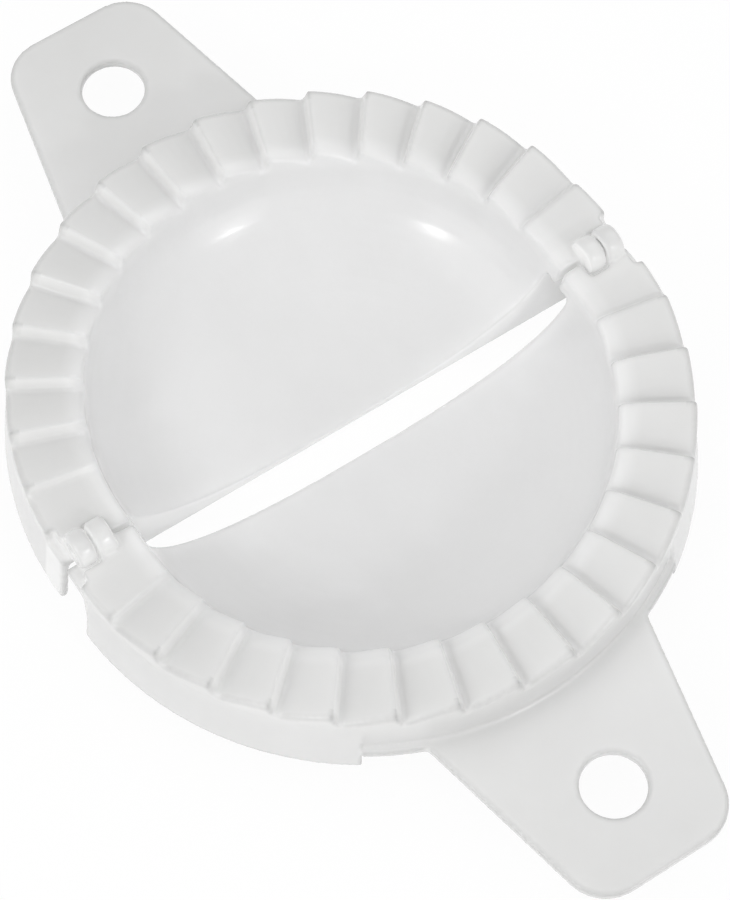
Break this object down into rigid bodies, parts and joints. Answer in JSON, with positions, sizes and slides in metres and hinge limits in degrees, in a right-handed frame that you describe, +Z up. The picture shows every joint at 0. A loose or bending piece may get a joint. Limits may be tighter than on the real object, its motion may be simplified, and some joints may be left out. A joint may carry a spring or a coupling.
{
  "type": "empanada press",
  "caption": "Hand press for filled dough pockets: two moulded halves with bowls, toothed rims and handles fold together on a snap hinge.",
  "frame": {"origin": "centre of the footprint at table level, under the middle of the hinge line", "axes": "+Z up, hinge line along X, +Y from the hinge line towards the back handle"},
  "size_m": [0.1232, 0.2024, 0.0248],
  "materials": {
    "front_moulding": "milky white polypropylene with a soft gloss",
    "back_moulding": "milky white polypropylene with a soft gloss"
  },
  "bodies": {
    "front": {"front_half": "front_moulding"},
    "back": {"back_half": "back_moulding"}
  },
  "joints": [
    {"name": "HINGE", "type": "hinge", "parent": "front", "child": "back", "pos_m": [0, 0, 0.0213], "axis": [1, 0, 0], "range_deg": [0, 180]}
  ]
}
